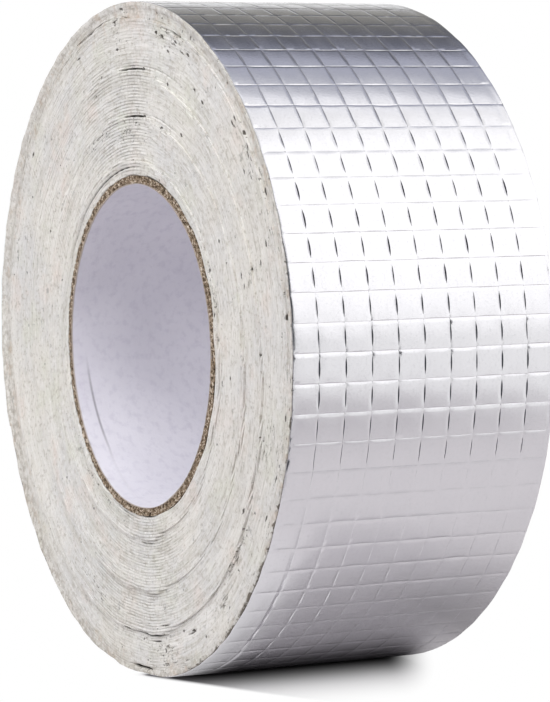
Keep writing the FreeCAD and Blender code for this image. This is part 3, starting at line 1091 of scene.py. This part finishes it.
def makeAluminium():
    material = bpy.data.materials.new("aluminium")
    recipe = Recipe(material)
    between, noise = recipe.between, recipe.noise
    tones = facing["tones"]
    at = recipe.place("UV")
    # rolling marks run round the roll
    marks = noise(recipe.vector("MULTIPLY", at, (60, 2400, 1)), 1, 4, 0.6)
    broad = noise(recipe.vector("MULTIPLY", at, (60, 420, 1)), 1, 3, 0.5)
    haze = noise(at, 130, 3, 0.55)
    grain = noise(at, 1900, 3, 0.6)
    paint = recipe.blend(haze, colour(*tones["dark"]), colour(*tones["pale"]))
    recipe.surface(
        Base_Color=recipe.layered(paint, (between(grain, 0.5, 0.75) * 0.35, tones["grain"])),
        Metallic=1.0,
        Roughness=between(broad, 0.3, 0.7) * 0.06 + between(haze, 0.3, 0.7) * 0.05 + 0.15,
        Normal=recipe.bump(marks * 0.5 + broad * 0.5 + grain * 0.6, 0.5, 0.04 * millimetre),
    )
    return material


makeFacing(makeAluminium())
print("facing pressed")


def ringSection(form):
    # a closed section, of share of the thickness, place along the tube, and 1 on its ends:
    # up the inner wall, over the far end, down the outer wall, and over the near end
    walls = np.union1d(np.linspace(-halfWidth, halfWidth, form["wallRows"]), form["moreRows"])
    shares = np.linspace(0, 1, form["endRows"])[1:-1]
    section = [(0, y, 1 if abs(y) == halfWidth else 0) for y in walls]
    section += [(share, halfWidth, 1) for share in shares]
    section += [(1, y, 1 if abs(y) == halfWidth else 0) for y in (halfWidth, 0, -halfWidth)]
    section += [(share, -halfWidth, 1) for share in reversed(shares)]
    return section + [section[0]]


def makeRing(name, node, inner, outer, form, material, wall=None):
    section = ringSection(form)
    columns, ragged = form["columns"], form["ragged"]
    piece, column, row = addSheet(name, columns, len(section) - 1)
    share, y, cut = (np.array(values)[row] for values in zip(*section))
    angle = column % columns / columns * fullTurn
    radius = inner + (outer - inner) * share
    torn = np.abs(ripple(angle * outer, radius, 1.1 * millimetre, form["seed"]))
    torn = torn + 0.7 * np.abs(ripple(angle * outer, radius, 2.6 * millimetre, form["seed"] + 1))
    inwards = np.clip(torn * ragged * cut, 0, 5 * ragged)
    radius = radius - np.clip(torn * 0.5, 0, 1) * ragged * 0.8 * (cut > 0) * (share == 1)
    if wall is not None:
        radius = radius + wall(angle, y) * (share == 0)
    moveCorners(piece, coreAcross + radius * np.cos(angle), y - np.sign(y) * inwards,
                coreUp + radius * np.sin(angle))
    layUv(piece, column / columns * fullTurn * inner, y)
    closeUp(piece)
    finishPiece(piece, node, material, form["sharpFrom"])


tube = {
    "columns": 720,  # faces round it
    "wallRows": 5,  # corners along the inner wall
    "moreRows": (),
    "endRows": 9,  # corners across a cut end
    "ragged": 0.10 * millimetre,  # unevenness of the cut ends
    "seed": 41,
    "sharpFrom": 50,  # degrees between faces
    # from the deepest pore to the palest fibre: where each stands in the grain, and its colour
    "tones": (
        (0.40, (46, 38, 31)), (0.465, (104, 88, 71)), (0.53, (156, 137, 115)), (0.60, (232, 220, 206)),
    ),
}


def makeChipboard():
    material = bpy.data.materials.new("chipboard")
    recipe = Recipe(material)
    at = recipe.place()
    coarse = recipe.noise(at, 1250, 3, 0.7)
    fine = recipe.noise(recipe.vector("ADD", at, (0.2, 0.5, 0.1)), 3300, 3, 0.7)
    stops = [(place, colour(*tone)[:3]) for place, tone in tube["tones"]]
    recipe.surface(
        Base_Color=recipe.node("ShaderNodeValToRGB", {"stops": stops}, {"Fac": coarse * 0.5 + fine * 0.5}),
        Roughness=fine * 0.1 + 0.85,
        Specular_IOR_Level=0.2,
        Normal=recipe.bump(coarse + fine, 0.8, 0.2 * millimetre),
    )
    return material


makeRing("core_ring", "core_tube", linerOutside, tubeOutside, tube, makeChipboard())


liner = {
    "columns": 360,
    "wallRows": 40,
    "moreRows": np.arange(-22.6, -20.8, 0.14) * millimetre,  # about the edge of its ply
    "endRows": 3,
    "ragged": 0.03 * millimetre,
    "seed": 51,
    "sharpFrom": 50,
    "wave": 0.03 * millimetre,
    # the edge of the ply: where it is furthest in, and how far it falls back in one degree from there
    "edgeAngle": 224,
    "edgePlace": -21.3 * millimetre,
    "edgeFall": 0.022 * millimetre,
    "edgeStep": 0.09 * millimetre,
    "edgeShown": ((183, 196), (250, 262)),  # degrees over which the step starts and ends
    # the painted shadow along the ply's edge: where its dark line shows best, and how far round it reaches
    "edgeShadowMiddle": 209,  # where its dark line shows best
    "edgeShadowReach": 26,
    "tones": {"base": (226, 224, 232), "cloud": (219, 217, 226), "mottle": (198, 195, 208),
              "edge": (112, 108, 116), "cutEnd": (168, 152, 134)},
}
linerInside = linerOutside - roll["linerThickness"]


def plyEdge(inDegrees):
    # works on corners and on a shader's amounts alike
    return liner["edgePlace"] - abs(inDegrees - liner["edgeAngle"]) * liner["edgeFall"]


def linerWall(angle, y):
    # the paper's waves, and the shallow edge where one ply ends
    wave = liner["wave"] * ripple(angle * linerOutside, y, 12 * millimetre, 31)
    inDegrees = angle / degree
    edge = plyEdge(inDegrees)
    starts, ends = liner["edgeShown"]
    shown = ease(inDegrees, *starts) * (1 - ease(inDegrees, *ends))
    step = (1 - ease(y, edge - 0.1 * millimetre, edge + 0.1 * millimetre)) * shown
    return wave + liner["edgeStep"] * step


def makePaper():
    material = bpy.data.materials.new("linerPaper")
    recipe = Recipe(material)
    between, noise = recipe.between, recipe.noise
    tones = liner["tones"]
    at = recipe.place("UV")
    mottle = noise(at, 620, 4, 0.6)
    cloud = noise(at, 70, 2, 0.5)
    fibre = noise(recipe.vector("MULTIPLY", at, (900, 1600, 1)), 1, 3, 0.6)
    # a painted shadow: a dark line along the edge of the ply, which shows best in its middle
    around, along = recipe.parts(at)[:2]
    inDegrees = around / (linerInside * degree)
    away = abs(along - plyEdge(inDegrees))
    shown = 1 - between(abs(inDegrees - liner["edgeShadowMiddle"]), 4, liner["edgeShadowReach"])
    edge = (1 - between(away, 0.05 * millimetre, 0.34 * millimetre)) * (shown * 0.75 + 0.15)
    edge = edge * (1 - between(abs(inDegrees - liner["edgeAngle"]), 28, 40))
    cutEnd = between(abs(along), halfWidth - 0.35 * millimetre, halfWidth - 0.1 * millimetre)
    paint = recipe.blend(between(cloud, 0.3, 0.7), colour(*tones["base"]), colour(*tones["cloud"]))
    paint = recipe.layered(
        paint,
        (between(mottle, 0.46, 0.70) * 0.4, tones["mottle"]),
        (edge * 0.7, tones["edge"]),
        (cutEnd * 0.8, tones["cutEnd"]),
    )
    recipe.surface(
        Base_Color=paint,
        Roughness=fibre * 0.15 + 0.75,
        Specular_IOR_Level=0.25,
        Normal=recipe.bump(mottle * 0.7 + fibre * 0.3, 0.7, 0.2 * millimetre),
    )
    return material


makeRing("bore_paper", "core_liner", linerInside, linerOutside, liner, makePaper(),
         linerWall)
print("core and liner made")
